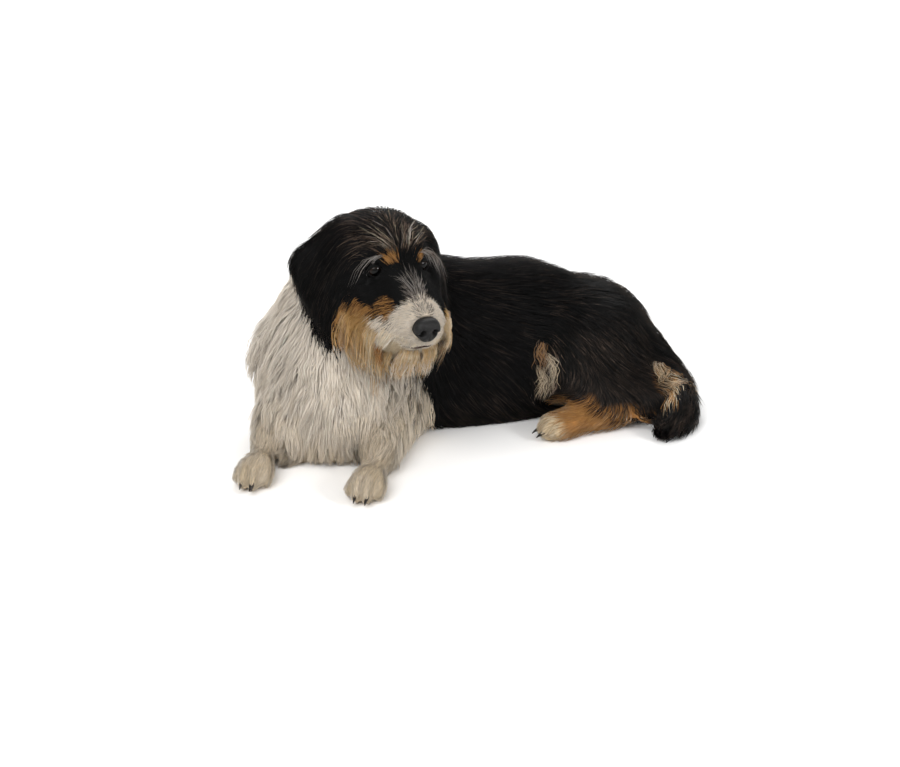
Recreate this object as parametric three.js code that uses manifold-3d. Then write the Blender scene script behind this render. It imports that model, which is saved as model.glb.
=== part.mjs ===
// A medium-sized, long-coated dog lying on its belly, as a still, life-size model.
// Millimetres. +Z is up and Z = 0 is the floor. X runs along the back with the
// head end at -X, and the dog's left side faces -Y. The origin is on the floor,
// under the middle of the trunk.
//
// The body is one smooth shape: rounded limbs and balls whose distance fields are
// blended and turned into triangles by marching cubes. Limbs, paws, head and ears are
// then parted from the trunk, with a thin gap between neighbours. All sizes are
// taken to the tips of the coat.

import * as THREE from 'three';
import { edgeTable, triTable } from 'three/addons/objects/MarchingCubes.js';
import { mergeVertices } from 'three/addons/utils/BufferGeometryUtils.js';
import Module from 'manifold-3d';

const wasm = await Module();
wasm.setup();

// ---------------------------------------------------------------- driving sizes

const GAP = 0.5; // clearance between neighbouring solids
const BODY_CELL = 27.5; // marching-cubes step of the trunk, neck, legs and tail
const PARTING_CELL = 45; // and of the surfaces that part them
const HEAD_CELL = 15.5;
const EAR_CELL = 15.5;
const PAW_CELL = 14;
const NOSE_CELL = 6;
const PARTING = 18; // how far a limb's territory reaches past the limb itself

const EYE_RADIUS = 10.5;
const EYE_SPREAD = 29.5; // each eye's distance from the head's middle plane
const NOSE_WIDTH = 34;

// The head's own frame: origin between the eyes, X forward, Y to the dog's left, Z up.
const HEAD_PLACE = new THREE.Vector3(-118, -125, 247);
const HEAD_YAW = -78.5; // degrees from +X, so the head looks back along the left flank
const HEAD_PITCH = 9; // nose down
const HEAD_ROLL = -4; // the left side a little lower

const PAW_LENGTH = 72;
const PAW_WIDTH = 56;
const PAW_HEIGHT = 38;
const TOE_SPREAD = 13; // between neighbouring toes

// ---------------------------------------------------------------- fields

const at = (x, y, z) => new THREE.Vector3(x, y, z);
const radians = THREE.MathUtils.degToRad;

// Each field gives the signed distance from a point to a surface, negative inside.

function ball(centre, radii, turn = 0) {
  const axis = at(0, 0, 1);
  const local = new THREE.Vector3();
  return (point) => {
    local.copy(point).sub(centre).applyAxisAngle(axis, -radians(turn)).divide(radii);
    const reach = local.length();
    const slope = local.divide(radii).length();
    return slope > 1e-9 ? (reach * (reach - 1)) / slope : -Math.min(radii.x, radii.y, radii.z);
  };
}

// A limb is a chain of rounded cones through its stations, each a place and a radius.
function limb(...stations) {
  const along = new THREE.Vector3();
  const away = new THREE.Vector3();
  return (point) => {
    let nearest = Infinity;
    for (let i = 1; i < stations.length; i++) {
      const [start, startRadius] = stations[i - 1];
      const [end, endRadius] = stations[i];
      along.copy(end).sub(start);
      away.copy(point).sub(start);
      const share = THREE.MathUtils.clamp(away.dot(along) / along.lengthSq(), 0, 1);
      const distance = away.addScaledVector(along, -share).length();
      const radius = THREE.MathUtils.lerp(startRadius, endRadius, share);
      nearest = Math.min(nearest, distance - radius);
    }
    return nearest;
  };
}

// Joins fields with a fillet about as wide as the given softness.
function blend(softness, ...fields) {
  return (point) => {
    let total = fields[0](point);
    for (const field of fields.slice(1)) {
      const next = field(point);
      const overlap = Math.max(softness - Math.abs(total - next), 0) / softness;
      total = Math.min(total, next) - overlap * overlap * softness * 0.25;
    }
    return total;
  };
}

const grow = (field, distance) => (point) => field(point) - distance;

// Cuts hollows out of a field, with a rounded rim of the given softness.
function hollow(softness, field, ...hollows) {
  const joined = blend(softness, (point) => -field(point), ...hollows);
  return (point) => -joined(point);
}

// Reads a field written in a local frame from the dog's frame.
function placed(frame, field) {
  const inverse = frame.clone().invert();
  const local = new THREE.Vector3();
  return (point) => field(local.copy(point).applyMatrix4(inverse));
}

// ---------------------------------------------------------------- solids

const CORNERS = [
  [0, 0, 0], [1, 0, 0], [1, 1, 0], [0, 1, 0],
  [0, 0, 1], [1, 0, 1], [1, 1, 1], [0, 1, 1],
];
const EDGES = [
  [0, 1], [1, 2], [2, 3], [3, 0], [4, 5], [5, 6],
  [6, 7], [7, 4], [0, 4], [1, 5], [2, 6], [3, 7],
];

// Marching cubes over a box. A crossing stays clear of the cube's corners, so that
// no triangle collapses.
function march(field, box, cell) {
  const size = box.getSize(new THREE.Vector3());
  const counts = size.toArray().map((length) => Math.ceil(length / cell) + 1);
  const [columns, rows, layers] = counts;
  const index = (i, j, k) => i + columns * (j + rows * k);
  const values = new Float64Array(columns * rows * layers);
  const corner = (i, j, k) => at(i, j, k).multiplyScalar(cell).add(box.min);
  for (let k = 0; k < layers; k++) {
    for (let j = 0; j < rows; j++) {
      for (let i = 0; i < columns; i++) values[index(i, j, k)] = field(corner(i, j, k));
    }
  }
  const positions = [];
  const triangles = [];
  const known = new Map();
  const crossing = (from, to) => {
    const a = index(...from);
    const b = index(...to);
    const key = a < b ? `${a}-${b}` : `${b}-${a}`;
    if (!known.has(key)) {
      const share = THREE.MathUtils.clamp(values[a] / (values[a] - values[b]), 0.02, 0.98);
      const place = corner(...from).lerp(corner(...to), share);
      known.set(key, positions.length / 3);
      positions.push(place.x, place.y, place.z);
    }
    return known.get(key);
  };
  for (let k = 0; k < layers - 1; k++) {
    for (let j = 0; j < rows - 1; j++) {
      for (let i = 0; i < columns - 1; i++) {
        const cube = CORNERS.map(([x, y, z]) => [i + x, j + y, k + z]);
        let code = 0;
        cube.forEach((place, bit) => {
          if (values[index(...place)] > 0) code |= 1 << bit;
        });
        if (edgeTable[code] === 0) continue;
        for (let n = code * 16; triTable[n] !== -1; n += 3) {
          const [a, b, c] = [0, 1, 2].map((side) => {
            const [start, end] = EDGES[triTable[n + side]];
            return crossing(cube[start], cube[end]);
          });
          triangles.push(a, b, c);
        }
      }
    }
  }
  return solidFrom(positions, triangles);
}

// A field's solid, and the room it needs: itself and the clearance around it.
function fitted(field, box, cell) {
  const solid = march(field, box, cell);
  const room = march(grow(field, GAP), box, cell).add(solid);
  return { solid, room };
}

function solidFrom(positions, triangles) {
  return new wasm.Manifold(new wasm.Mesh({
    numProp: 3,
    vertProperties: new Float32Array(positions),
    triVerts: new Uint32Array(triangles),
  }));
}

function solidOf(geometry) {
  const plain = geometry.clone();
  plain.deleteAttribute('normal');
  plain.deleteAttribute('uv');
  const merged = mergeVertices(plain, 1e-4);
  return solidFrom(merged.attributes.position.array, merged.index.array);
}

function boxSolid(centre, size) {
  return solidOf(new THREE.BoxGeometry(...size.toArray()).translate(...centre.toArray()));
}

// Cutting two curved surfaces can leave loose crumbs: a part is its largest piece.
function largest(solid) {
  return solid.decompose().reduce((best, piece) => (piece.volume() > best.volume() ? piece : best));
}

const boxAround = (low, high) => new THREE.Box3(at(...low), at(...high));

const FLOOR = boxSolid(at(0, 0, -100), at(1600, 1600, 200));

// ---------------------------------------------------------------- trunk and limbs

const BODY_BOX = boxAround([-440, -330, -40], [360, 260, 340]);

const trunkField = blend(
  30,
  ball(at(-70, -2, 99), at(125, 86, 115)), // ribs
  ball(at(46, 6, 88), at(118, 82, 108)), // loin
  ball(at(10, 0, 45), at(175, 86, 75)), // belly hair, down to the floor
  ball(at(156, 12, 74), at(80, 80, 78)), // croup
  ball(at(-178, -18, 100), at(84, 98, 98), 25), // shoulders
  ball(at(-200, -66, 98), at(78, 72, 88), 65), // breast
  ball(at(-205, -72, 48), at(76, 66, 62), 65), // breast hair, down to the floor
);

const neckField = limb([at(-180, -18, 162), 76], [at(-167, -30, 210), 64], [at(-154, -46, 240), 48]);

const forelegs = {
  left: limb([at(-135, -62, 100), 48], [at(-118, -72, 36), 38], [at(-168, -184, 24), 26]),
  right: limb([at(-248, 14, 98), 50], [at(-245, 2, 40), 41], [at(-292, -110, 24), 26]),
};

// A hind leg, with the long hair behind its thigh that fills the gap to the tail.
const hindleg = (breech, ...stations) => blend(16, limb(...stations), ball(breech, at(34, 36, 42)));

const hindlegs = {
  left: hindleg(
    at(202, -58, 38),
    [at(158, -42, 90), 60],
    [at(98, -74, 70), 44],
    [at(186, -108, 29), 29],
    [at(122, -127, 20), 26],
  ),
  right: hindleg(
    at(200, 76, 38),
    [at(156, 60, 80), 57],
    [at(98, 90, 68), 44],
    [at(186, 124, 29), 29],
    [at(122, 139, 20), 26],
  ),
};

const tailField = limb(
  [at(204, 8, 84), 28],
  [at(231, -28, 54), 28],
  [at(247, -85, 28), 29],
  [at(236, -146, 21), 26],
  [at(196, -182, 12), 17],
);

const bodyField = blend(
  24,
  trunkField,
  neckField,
  forelegs.left,
  forelegs.right,
  hindlegs.left,
  hindlegs.right,
  tailField,
);

// ---------------------------------------------------------------- paws

// A paw in its own frame: X towards the toes, origin on the floor below the wrist or hock.
const pawField = blend(
  8,
  ball(
    at(PAW_LENGTH * 0.35, 0, PAW_HEIGHT * 0.45),
    at(PAW_LENGTH * 0.5, PAW_WIDTH * 0.44, PAW_HEIGHT * 0.55),
  ),
  ...[-1.5, -0.5, 0.5, 1.5].map((toe) => {
    const reach = PAW_LENGTH * (Math.abs(toe) < 1 ? 0.74 : 0.6);
    return ball(at(reach, toe * TOE_SPREAD, PAW_HEIGHT * 0.33), at(15, 8.5, 14));
  }),
);

const PAW_PLACES = {
  forepaw_left: [at(-174, -202, 0), -115],
  forepaw_right: [at(-300, -128, 0), -115],
  hindpaw_left: [at(112, -127, 0), -172],
  hindpaw_right: [at(112, 139, 0), 172],
};

function pawSolid([place, heading]) {
  const frame = new THREE.Matrix4().makeRotationZ(radians(heading)).setPosition(place);
  const margin = at(PAW_LENGTH + 20, PAW_LENGTH + 20, PAW_HEIGHT + 20);
  const box = new THREE.Box3(place.clone().sub(margin), place.clone().add(margin));
  return march(placed(frame, pawField), box, PAW_CELL).subtract(FLOOR);
}

// ---------------------------------------------------------------- head

const headFrame = new THREE.Matrix4()
  .makeRotationFromEuler(new THREE.Euler(radians(HEAD_ROLL), radians(HEAD_PITCH), radians(HEAD_YAW), 'ZYX'))
  .setPosition(HEAD_PLACE);

const bothSides = (make) => [1, -1].map(make);

const headShape = blend(
  14,
  ball(at(-54, -4, 3), at(62, 60, 48)), // skull
  limb([at(0, 0, -22), 38], [at(68, 0, -38), 31]), // muzzle
  limb([at(-10, 0, -55), 34], [at(50, 0, -66), 28], [at(42, 0, -92), 24]), // lower jaw and beard
  ...bothSides((side) => ball(at(-18, side * 38, -44), at(40, 30, 44))), // cheeks
  ...bothSides((side) => ball(at(34, side * 30, -58), at(34, 28, 34))), // whiskers
  ...bothSides((side) => ball(at(-8, side * 25, 20), at(15, 14, 12))), // brows
);

// The lids' opening, in front of each eye.
const headField = hollow(
  6,
  headShape,
  ...bothSides((side) => ball(at(10, side * (EYE_SPREAD + 5), 0), at(17, 14, 11))),
);

const noseField = ball(at(90, 0, -34), at(11.5, NOSE_WIDTH / 2, 14));

// Hanging ears: a flap from a front edge on the cheek to an outer corner, down to the tip.
function earField(side, flare, rootHeight) {
  const across = (forward, out, up) => at(forward, side * out, up);
  const tip = across(-22, 66, -93);
  const corner = across(-82, 58 + flare, -16);
  const hem = across(-65, 60 + flare * 0.7, -58);
  const front = limb([across(-36, 47, rootHeight), 15], [across(-24, 62, -44), 13], [tip, 9]);
  const centre = across(-48, 60 + flare * 0.4, -42);
  const middle = limb([across(-58, 49, rootHeight), 17], [centre, 16], [tip, 9]);
  const back = limb([across(-72, 46, rootHeight), 16], [corner, 16], [hem, 14], [tip, 9]);
  return blend(20, front, middle, back);
}

// The right ear is lifted and spread by the turn of the head, and the left one hangs.
const earFields = { left: earField(1, 16, 6), right: earField(-1, 40, 27) };

function eyeCentre(side) {
  return at(-7, side * EYE_SPREAD, 0).applyMatrix4(headFrame);
}

function eyeSolid(side, radius) {
  const ballGeometry = new THREE.SphereGeometry(radius, 10, 7);
  return solidOf(ballGeometry.translate(...eyeCentre(side).toArray()));
}

const HEAD_BOX = new THREE.Box3(at(-150, -95, -150), at(115, 95, 90)).applyMatrix4(headFrame);
const NOSE_BOX = new THREE.Box3(at(70, -26, -56), at(110, 26, -12)).applyMatrix4(headFrame);
const EAR_BOX = HEAD_BOX.clone().expandByScalar(30);

// ---------------------------------------------------------------- parting

const pieces = new Map();

const nose = fitted(placed(headFrame, noseField), NOSE_BOX, NOSE_CELL);
const ears = {
  left: fitted(placed(headFrame, earFields.left), EAR_BOX, EAR_CELL),
  right: fitted(placed(headFrame, earFields.right), EAR_BOX, EAR_CELL),
};
const body = fitted(bodyField, BODY_BOX, BODY_CELL);

// Head and paws are cut to fit the body, and the body and head to fit the ears.
let head = march(placed(headFrame, headField), HEAD_BOX, HEAD_CELL).subtract(body.room).subtract(nose.room);
let trunk = body.solid.subtract(FLOOR);
pieces.set('nose', nose.solid);
for (const [side, sign] of Object.entries({ left: 1, right: -1 })) {
  head = head.subtract(eyeSolid(sign, EYE_RADIUS + GAP)).subtract(ears[side].room);
  trunk = trunk.subtract(ears[side].room);
  pieces.set(`eye_${side}`, eyeSolid(sign, EYE_RADIUS));
  pieces.set(`ear_${side}`, ears[side].solid);
}
pieces.set('head', head);
for (const [name, place] of Object.entries(PAW_PLACES)) {
  pieces.set(name, pawSolid(place).subtract(body.room));
}

const territories = {
  foreleg_left: forelegs.left,
  foreleg_right: forelegs.right,
  hindleg_left: hindlegs.left,
  hindleg_right: hindlegs.right,
  tail: tailField,
  neck: neckField,
};

for (const [name, field] of Object.entries(territories)) {
  const territory = fitted(grow(field, PARTING), BODY_BOX, PARTING_CELL);
  pieces.set(name, trunk.intersect(territory.solid));
  trunk = trunk.subtract(territory.room);
}
pieces.set('trunk', trunk);

// ---------------------------------------------------------------- scene graph

const COATS = {
  black: { color: 0x1b1a1a, roughness: 0.75 },
  white: { color: 0xd9d0bf, roughness: 0.85 },
  tan: { color: 0xa8794a, roughness: 0.85 },
  leather: { color: 0x151313, roughness: 0.4 },
  iris: { color: 0x24160e, roughness: 0.08 },
};

function coatOf(name) {
  if (name.startsWith('eye')) return COATS.iris;
  if (name === 'nose') return COATS.leather;
  if (name === 'head') return COATS.tan;
  if (name === 'neck' || name.startsWith('fore')) return COATS.white;
  return COATS.black;
}

function meshOf(name, solid) {
  const { vertProperties, triVerts } = solid.getMesh();
  const geometry = new THREE.BufferGeometry();
  geometry.setAttribute('position', new THREE.BufferAttribute(vertProperties, 3));
  geometry.setIndex(new THREE.BufferAttribute(triVerts, 1));
  geometry.computeVertexNormals();
  const mesh = new THREE.Mesh(geometry, new THREE.MeshStandardMaterial({ ...coatOf(name), metalness: 0 }));
  mesh.name = name;
  return mesh;
}

const dog = new THREE.Group();
for (const [name, solid] of pieces) dog.add(meshOf(name, largest(solid)));

export default dog;
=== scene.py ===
# A long-coated dog lying on its belly, as a still museum-style model. One skin is
# made from the CAD's parts of flesh and drawn in by the coat's depth. The coat is
# tens of thousands of closed, tapered locks, combed over the skin along the lie of
# the hair. Metres, in the CAD's frame: X along the back with the head end at -X, the
# dog's left side at -Y, Z up from the floor.

import math

import bmesh
import bpy
import numpy as np
from mathutils import Matrix, Vector, noise
from mathutils.bvhtree import BVHTree
from mathutils.kdtree import KDTree


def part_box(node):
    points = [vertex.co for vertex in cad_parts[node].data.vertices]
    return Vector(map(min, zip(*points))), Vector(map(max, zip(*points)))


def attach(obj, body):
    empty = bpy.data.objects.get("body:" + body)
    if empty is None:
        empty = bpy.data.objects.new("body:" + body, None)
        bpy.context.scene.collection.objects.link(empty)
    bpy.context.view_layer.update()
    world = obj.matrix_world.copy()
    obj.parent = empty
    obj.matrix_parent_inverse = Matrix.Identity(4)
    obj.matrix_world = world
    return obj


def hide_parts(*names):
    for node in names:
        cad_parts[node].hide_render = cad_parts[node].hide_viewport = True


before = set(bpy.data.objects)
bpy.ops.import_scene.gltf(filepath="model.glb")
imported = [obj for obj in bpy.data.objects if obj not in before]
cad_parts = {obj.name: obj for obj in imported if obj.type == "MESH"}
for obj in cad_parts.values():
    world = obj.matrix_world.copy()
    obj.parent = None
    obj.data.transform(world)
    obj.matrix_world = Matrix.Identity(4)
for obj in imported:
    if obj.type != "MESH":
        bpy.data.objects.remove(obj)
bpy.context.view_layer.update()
rng = np.random.default_rng(7)
MM = 0.001

# ---------------------------------------------------------------- colours


def srgb(red, green, blue):
    """A colour on the usual 0 to 255 scale as linear values."""
    values = np.array([red, green, blue]) / 255
    return np.where(values <= 0.04045, values / 12.92, ((values + 0.055) / 1.055) ** 2.4)


BLACK = srgb(8, 8, 8)
# Brown-black hair: a real tone in places, and painted sheen on the thighs, the crown and the
# ears.
DUSKY_BROWN_AND_SHEEN = srgb(34, 28, 24)
GREY = srgb(112, 102, 94)
BROWN = srgb(104, 85, 70)
SILVER = srgb(176, 166, 156)
WHITE = srgb(236, 220, 199)
CREAM = srgb(222, 198, 160)
TAN = srgb(168, 117, 64)
GOLD = srgb(206, 157, 92)
# Darker rust-brown: painted shade in the corner of the mouth.
CORNER_SHADE_BROWN = srgb(140, 84, 44)

# ---------------------------------------------------------------- small helpers


def smoothstep(low, high, value):
    share = np.clip((value - low) / (high - low), 0, 1)
    return share * share * (3 - 2 * share)


def unit(vectors):
    return vectors / np.maximum(np.linalg.norm(vectors, axis=-1, keepdims=True), 1e-9)


def dot(a, b):
    return (a * b).sum(-1, keepdims=True)


def mix(a, b, share):
    return a + (b - a) * share


def wobble(points, per_metre, offset=0.0):
    """Smooth noise from -1 to 1 at each point."""
    scaled = points * per_metre + offset
    return np.array([noise.noise(Vector(p)) for p in scaled.tolist()])


def tangent(vectors, normals):
    return unit(vectors - dot(vectors, normals) * normals)


# ---------------------------------------------------------------- places from the frame


def middle(node):
    low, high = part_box(node)
    return np.array((low + high) / 2)


def in_box(node, shares):
    low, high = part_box(node)
    return np.array(low) + np.array(shares) * (np.array(high) - np.array(low))


EARS = ("ear_left", "ear_right")
FORELEGS = ("foreleg_left", "foreleg_right")
FOREPAWS = ("forepaw_left", "forepaw_right")
HINDLEGS = ("hindleg_left", "hindleg_right")
HINDPAWS = ("hindpaw_left", "hindpaw_right")


def in_hind_box(node, shares):
    """A place in a node's box, measured across from the dog's right on its right side."""
    along, across, up = shares
    return in_box(node, (along, 1 - across if node.endswith("_right") else across, up))


# The head's own frame, from its eyes and nose: X forward, Y to the dog's left, Z up.
EYE_RADIUS = 10.5 * MM
EYES_TO_NOSE = (97 * MM, -34 * MM)  # forward and up, in the head's frame
EYE_SETBACK = 7 * MM  # the frame's origin is this far in front of the eyes' centres

between_eyes = (middle("eye_left") + middle("eye_right")) / 2
head_left = unit(middle("eye_left") - middle("eye_right"))
to_nose = middle("nose") - between_eyes
to_nose = unit(to_nose - dot(to_nose, head_left) * head_left)
nose_drop = math.atan2(-EYES_TO_NOSE[1], EYES_TO_NOSE[0])
head_forward = math.cos(nose_drop) * to_nose + math.sin(nose_drop) * np.cross(to_nose, head_left)
head_up = np.cross(head_forward, head_left)
head_axes = np.array([head_forward, head_left, head_up])
head_origin = between_eyes + EYE_SETBACK * head_forward


def to_head(points):
    return (points - head_origin) @ head_axes.T


def from_head(points):
    return np.asarray(points) @ head_axes + head_origin


# ---------------------------------------------------------------- coat guides

# Each guide is a place, the way the hair lies there, the coat's depth, the length of
# a lock, how much it hangs free and how much it waves (all lengths in mm). Places on
# the body are shares of a node's box. Places on the head are mm in the head's frame.

BODY_GUIDES = [
    ("trunk", (0.25, 0.62, 0.97), (1.0, 0.1, -0.1), 13, 40, 0.05, 1.2),  # withers
    ("trunk", (0.55, 0.62, 0.97), (1.0, 0.0, 0.0), 12, 38, 0.05, 1.0),  # back
    ("trunk", (0.75, 0.64, 0.90), (1.0, 0.0, -0.1), 12, 40, 0.05, 1.0),  # loin
    ("trunk", (0.94, 0.66, 0.62), (0.8, 0.0, -0.5), 13, 46, 0.1, 1.4),  # croup
    ("trunk", (0.52, 0.28, 0.70), (0.9, 0.0, -0.4), 12, 40, 0.1, 1.0),  # left flank
    ("trunk", (0.52, 0.26, 0.25), (0.7, 0.0, -0.7), 12, 46, 0.2, 1.6),
    ("trunk", (0.70, 0.30, 0.55), (0.9, 0.0, -0.4), 12, 42, 0.1, 1.0),
    ("trunk", (0.52, 0.95, 0.70), (0.9, 0.0, -0.4), 12, 40, 0.1, 1.0),  # right flank
    ("trunk", (0.52, 0.97, 0.25), (0.7, 0.0, -0.7), 12, 46, 0.2, 1.6),
    ("trunk", (0.52, 0.60, 0.00), (1.0, 0.0, 0.0), 5, 16, 0.0, 0.5),  # belly
    ("trunk", (0.10, 0.10, 0.50), (-0.1, -0.15, -1.0), 24, 66, 0.55, 7.0),  # breast
    ("trunk", (0.10, 0.05, 0.15), (-0.15, -0.15, -1.0), 18, 58, 0.5, 7.0),
    ("trunk", (0.00, 0.60, 0.55), (-0.15, 0.1, -1.0), 18, 58, 0.4, 3.0),  # right shoulder
    ("trunk", (0.38, 0.22, 0.55), (0.1, -0.1, -1.0), 14, 50, 0.3, 2.0),  # left shoulder
    ("neck", (0.70, 0.90, 0.90), (0.5, 0.35, -0.7), 12, 42, 0.1, 1.2),  # nape
    ("neck", (0.45, 0.05, 0.45), (-0.05, -0.15, -1.0), 22, 62, 0.55, 6.0),  # throat
    ("neck", (0.95, 0.25, 0.45), (0.1, -0.1, -1.0), 16, 52, 0.3, 2.5),  # left ruff
    ("neck", (0.05, 0.50, 0.55), (-0.25, 0.15, -0.95), 18, 58, 0.4, 3.0),  # right ruff
]


def leg_guides(side):
    """Guides of a foreleg and a hind leg, with their paws."""
    foreleg, forepaw = f"foreleg_{side}", f"forepaw_{side}"
    hindleg, hindpaw = f"hindleg_{side}", f"hindpaw_{side}"
    out = -0.1 if side == "left" else 0.1
    outer = 0.0 if side == "left" else 1.0
    return [
        (foreleg, (0.55, 0.60, 0.95), (0.1, -0.1, -1.0), 15, 56, 0.5, 6.0),
        (foreleg, (0.95, 0.60, 0.35), (0.05, -0.3, -0.9), 11, 46, 0.5, 5.0),
        (foreleg, (0.60, 0.35, 0.35), (-0.35, -0.75, -0.55), 9, 38, 0.4, 4.5),
        (foreleg, (0.25, 0.05, 0.20), (-0.4, -0.9, -0.25), 6, 20, 0.1, 1.0),
        (forepaw, (0.50, 0.60, 0.90), (-0.4, -0.9, -0.1), 4, 14, 0.0, 0.5),
        (forepaw, (0.30, 0.05, 0.40), (-0.35, -0.8, -0.5), 3, 10, 0.0, 0.3),
        (hindleg, (0.60, abs(outer - 0.3), 0.95), (0.6, out, -0.8), 11, 42, 0.1, 1.6),
        (hindleg, (0.10, abs(outer - 0.3), 0.60), (0.4, out, -0.9), 10, 38, 0.2, 3.0),
        (hindleg, (0.55, outer, 0.45), (0.75, out, -0.6), 11, 44, 0.1, 2.0),
        (hindleg, (0.95, abs(outer - 0.3), 0.60), (0.7, out, -0.7), 11, 44, 0.2, 2.0),
        (hindleg, (0.90, outer, 0.10), (0.2, out, -0.8), 7, 26, 0.1, 1.0),
        (hindleg, (0.45, outer, 0.10), (-0.9, out, -0.3), 6, 18, 0.0, 0.6),
        (hindpaw, (0.60, 0.50, 0.95), (-1.0, 0.0, -0.1), 4, 13, 0.0, 0.4),
        (hindpaw, (0.05, 0.50, 0.40), (-0.9, 0.0, -0.5), 3, 10, 0.0, 0.3),
    ]


TAIL_GUIDES = [
    ("tail", (0.15, 0.95, 0.90), (0.75, -0.3, -0.6), 13, 48, 0.2, 2.0),
    ("tail", (0.75, 0.75, 0.50), (0.5, -0.75, -0.35), 14, 54, 0.3, 2.5),
    ("tail", (0.95, 0.45, 0.30), (0.1, -1.0, -0.1), 14, 54, 0.3, 2.5),
    ("tail", (0.70, 0.20, 0.30), (-0.45, -0.85, -0.1), 12, 50, 0.3, 2.5),
    ("tail", (0.15, 0.02, 0.30), (-0.9, -0.4, -0.1), 8, 40, 0.3, 2.0),
]

# On the head Y is the distance from the middle plane, and its direction is outwards.
HEAD_GUIDES = [
    ((78, 8, -18), (-0.9, 0.5, 0.1), 3, 9, 0.0, 0.2),  # top of the muzzle, by the nose
    ((50, 8, -6), (-0.9, 0.7, 0.2), 4, 15, 0.05, 0.8),
    ((24, 6, 6), (-0.7, 0.35, 0.7), 4, 17, 0.0, 0.6),  # stop
    ((5, 8, 24), (-0.5, 0.45, 0.75), 6, 26, 0.0, 1.2),  # between the brows
    ((2, 26, 18), (-0.3, 0.8, 0.45), 4, 16, 0.0, 0.8),  # brows
    ((-25, 12, 42), (-0.65, 0.7, 0.1), 8, 36, 0.05, 1.6),  # crown
    ((-60, 20, 46), (-0.8, 0.6, -0.2), 8, 38, 0.1, 1.6),
    ((-40, 50, 22), (-0.45, 0.45, -0.8), 8, 36, 0.2, 1.6),  # temple
    ((-105, 0, 0), (-0.5, 0.2, -0.9), 10, 40, 0.1, 1.4),  # nape
    ((-10, 52, -8), (-0.6, 0.3, -0.75), 5, 18, 0.1, 1.0),  # under and behind the eye
    ((14, 34, -16), (-0.6, 0.5, -0.6), 3, 11, 0.0, 0.4),
    ((0, 60, -45), (-0.35, 0.3, -0.9), 11, 36, 0.3, 2.0),  # cheek
    ((-30, 55, -70), (-0.3, 0.3, -0.95), 14, 46, 0.4, 2.6),  # jaw
    ((45, 32, -22), (-0.45, 0.65, -0.65), 5, 19, 0.1, 1.0),  # side of the muzzle
    ((66, 30, -42), (-0.25, 0.55, -0.85), 7, 23, 0.2, 1.4),  # moustache
    ((40, 50, -60), (-0.3, 0.45, -0.9), 10, 34, 0.3, 2.0),
    ((88, 4, -54), (0.0, 0.95, -0.3), 2.5, 8, 0.0, 0.2),  # lip under the nose
    ((80, 20, -60), (-0.4, 0.9, -0.15), 3, 10, 0.0, 0.3),
    ((80, 6, -76), (0.3, 0.15, -0.95), 3, 16, 0.2, 0.8),  # front of the chin
    ((66, 10, -90), (0.2, 0.15, -1.0), 9, 32, 0.5, 1.8),  # chin
    ((40, 16, -110), (0.1, 0.15, -1.0), 14, 44, 0.5, 2.6),  # beard
    ((0, 20, -90), (-0.1, 0.2, -1.0), 14, 46, 0.4, 2.6),  # throat
]

EAR_GUIDES = [
    ((-55, 52, 36), (-0.15, 0.75, -0.55), 6, 36, 0.1, 1.2),
    ((-80, 92, 0), (-0.1, 0.3, -1.0), 6, 44, 0.3, 1.8),
    ((-40, 75, -40), (0.0, 0.05, -1.0), 6, 38, 0.15, 1.8),
    ((-25, 66, -100), (0.0, 0.0, -1.0), 4, 14, 0.1, 1.4),
]

GUIDE_GROUPS = {
    "head": ("head",),
    "ears": EARS,
    "body": ("trunk", "neck"),
    "left_legs": ("foreleg_left", "forepaw_left", "hindleg_left", "hindpaw_left"),
    "right_legs": ("foreleg_right", "forepaw_right", "hindleg_right", "hindpaw_right"),
    "tail": ("tail",),
}

FLESH = [name for group in GUIDE_GROUPS.values() for name in group]


def belongs(labels, nodes):
    """True where a label, a place in FLESH, is one of the nodes."""
    return np.isin(labels, [FLESH.index(node) for node in nodes])


def body_table(guides):
    places = np.array([in_box(node, shares) for node, shares, *_ in guides])
    values = np.array([[*lie, *rest] for _, _, lie, *rest in guides], float)
    return places, values


def guided(points, places, values, reach):
    """Guide values at each point, from the guides near it."""
    gaps = np.linalg.norm(points[:, None] - places[None], axis=2)
    weights = 1 / (gaps**2 + reach**2) ** 2
    weights /= weights.sum(1, keepdims=True)
    return weights @ values


def guided_head(points, guides, reach):
    """The same in the head's frame, for both its sides at once."""
    local = to_head(points)
    side = np.where(local[:, 1:2] < 0, -1.0, 1.0)
    mirrored = local * np.hstack([np.ones_like(side), side, np.ones_like(side)])
    places = np.array([place for place, *_ in guides]) * MM
    values = np.array([[*lie, *rest] for _, lie, *rest in guides], float)
    found = guided(mirrored, places, values, reach)
    found[:, 1:2] *= side
    found[:, :3] = found[:, :3] @ head_axes
    return found


def coat_values(points, labels):
    """Lie (3 values), depth, length, hang and wave of the coat at each point."""
    found = np.zeros((len(points), 7))
    tables = {
        "body": body_table(BODY_GUIDES),
        "left_legs": body_table(leg_guides("left")),
        "right_legs": body_table(leg_guides("right")),
        "tail": body_table(TAIL_GUIDES),
    }
    for group, names in GUIDE_GROUPS.items():
        chosen = belongs(labels, names)
        if group == "head":
            found[chosen] = guided_head(points[chosen], HEAD_GUIDES, 9 * MM)
        elif group == "ears":
            found[chosen] = guided_head(points[chosen], EAR_GUIDES, 15 * MM)
        else:
            found[chosen] = guided(points[chosen], *tables[group], 25 * MM)
    return found


# ---------------------------------------------------------------- markings


def paint(tint, colour, share, hairy):
    """Colours a share of the locks wholly, by chance, or blends that share into bare skin."""
    if hairy:
        chance = share - rng.random(len(tint))
        share = smoothstep(-0.06, 0.06, chance) * np.minimum(1, 4 * share)
    return mix(tint, colour, np.broadcast_to(share, len(tint))[:, None])


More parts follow.
